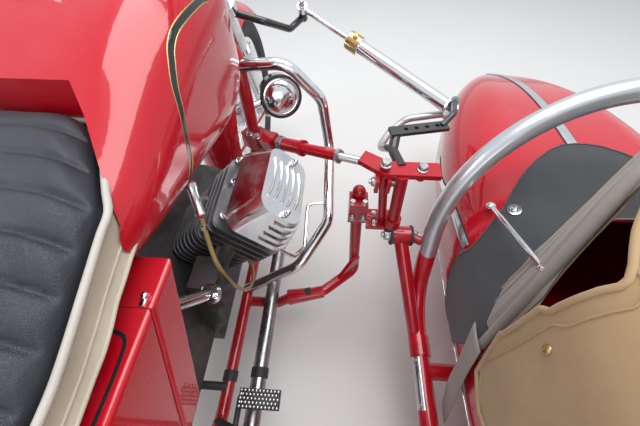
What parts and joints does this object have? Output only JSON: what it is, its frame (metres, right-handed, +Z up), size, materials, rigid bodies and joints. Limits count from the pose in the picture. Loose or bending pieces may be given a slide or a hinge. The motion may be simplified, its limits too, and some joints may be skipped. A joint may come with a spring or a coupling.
{
  "type": "sidecar motorcycle",
  "caption": "touring motorcycle with a transverse V-twin engine and a torpedo sidecar under a canvas hood",
  "frame": {"origin": "on the ground under the middle of the outfit's box", "axes": "+Y forward, +X to the sidecar, +Z up"},
  "size_m": [1.8135, 2.3549, 1.2224],
  "materials": {
    "apron_canvas": "black canvas",
    "binding": "grey-beige binding",
    "black_paint": "black enamel",
    "cast_alloy": "sand-cast aluminium",
    "chrome": "polished chrome",
    "clear_pane": "clear sheet",
    "hood_canvas": "tan canvas",
    "hose": "clear amber hose",
    "plate_white": "blank plate",
    "polished_alloy": "polished aluminium",
    "red_lens": "red lens",
    "red_paint": "deep gloss red",
    "rubber": "black rubber",
    "seat_cream": "cream vinyl",
    "seat_vinyl": "black vinyl",
    "silver_paint": "aluminium paint",
    "tyre": "rubber"
  },
  "bodies": {
    "outfit": {"apron": "apron_canvas", "carburettors": "cast_alloy", "chassis_beams": "red_paint", "crash_bars": "chrome", "cylinders": "cast_alloy", "damper_lever": "black_paint", "engine_block": "cast_alloy", "exhausts": "chrome", "filler_cap": "chrome", "foot_controls": "rubber", "frame_cradles": "red_paint", "frame_spine": "red_paint", "fuel_hose": "hose", "fuel_tank": "red_paint", "hood": "hood_canvas", "horn": "chrome", "lower_arm": "red_paint", "nose_hoop": "silver_paint", "plate_bracket": "plate_white", "rear_dampers": "chrome", "rear_links": "red_paint", "rear_mudguard": "red_paint", "rocker_covers": "polished_alloy", "seat_pad": "seat_vinyl", "seat_skirt": "seat_cream", "sidecar_body": "red_paint", "sidecar_chassis": "red_paint", "sidecar_mudguard": "red_paint", "sidecar_seat": "seat_vinyl", "swing_arm": "black_paint", "tail_lamp": "red_lens", "toolboxes": "red_paint", "tower": "red_paint", "upper_strut": "red_paint", "wheel_arm": "black_paint", "windscreen_frame": "binding", "windscreen_pane": "clear_pane"},
    "steering": {"damper_bracket": "black_paint", "fork": "polished_alloy", "fork_sliders": "polished_alloy", "front_mudguard": "red_paint", "handlebar": "chrome", "headlamp": "chrome", "instruments": "black_paint", "mirrors": "chrome"},
    "front_wheel": {"front_tyre": "tyre", "front_wheel": "chrome"},
    "rear_wheel": {"rear_tyre": "tyre", "rear_wheel": "chrome"},
    "sidecar_wheel": {"sidecar_tyre": "tyre", "sidecar_wheel": "chrome"},
    "right_lid": {"toolbox_lid_right": "red_paint"},
    "left_lid": {"toolbox_lid_left": "red_paint"},
    "damper_tube": {"damper_body": "chrome"},
    "damper_piston": {"damper_rod": "chrome"}
  },
  "joints": [
    {"name": "steering", "type": "hinge", "parent": "outfit", "child": "steering", "pos_m": [-0.52524, 0.81277, 0.30387], "axis": [0, -0.4695, 0.8829], "range_deg": [-28, 28]},
    {"name": "front_wheel_spin", "type": "hinge", "parent": "steering", "child": "front_wheel", "pos_m": [-0.52524, 0.8525, 0.325], "axis": [1, 0, 0], "continuous": true},
    {"name": "rear_wheel_spin", "type": "hinge", "parent": "outfit", "child": "rear_wheel", "pos_m": [-0.52524, -0.6175, 0.325], "axis": [1, 0, 0], "continuous": true},
    {"name": "sidecar_wheel_spin", "type": "hinge", "parent": "outfit", "child": "sidecar_wheel", "pos_m": [0.83076, -0.3825, 0.318], "axis": [1, 0, 0], "continuous": true},
    {"name": "right_lid_hinge", "type": "hinge", "parent": "outfit", "child": "right_lid", "pos_m": [-0.35124, -0.6175, 0.477], "axis": [0, 1, 0], "range_deg": [0, 80]},
    {"name": "left_lid_hinge", "type": "hinge", "parent": "outfit", "child": "left_lid", "pos_m": [-0.69924, -0.6175, 0.477], "axis": [0, -1, 0], "range_deg": [0, 80]},
    {"name": "damper_swing", "type": "hinge", "parent": "outfit", "child": "damper_tube", "pos_m": [0.13406, 0.4822, 0.5992], "axis": [0, -0.4695, 0.8829], "range_deg": [-9.51, 9.51]},
    {"name": "damper_stroke", "type": "slide", "parent": "damper_tube", "child": "damper_piston", "axis": [-0.8182, 0.5076, 0.27], "range_m": [-0.1171, 0.1171]}
  ],
  "couplings": [
    {"joint": "damper_swing", "follows": "steering", "ratio": -0.33929},
    {"joint": "damper_stroke", "follows": "steering", "m_per_rad": 0.23942}
  ]
}
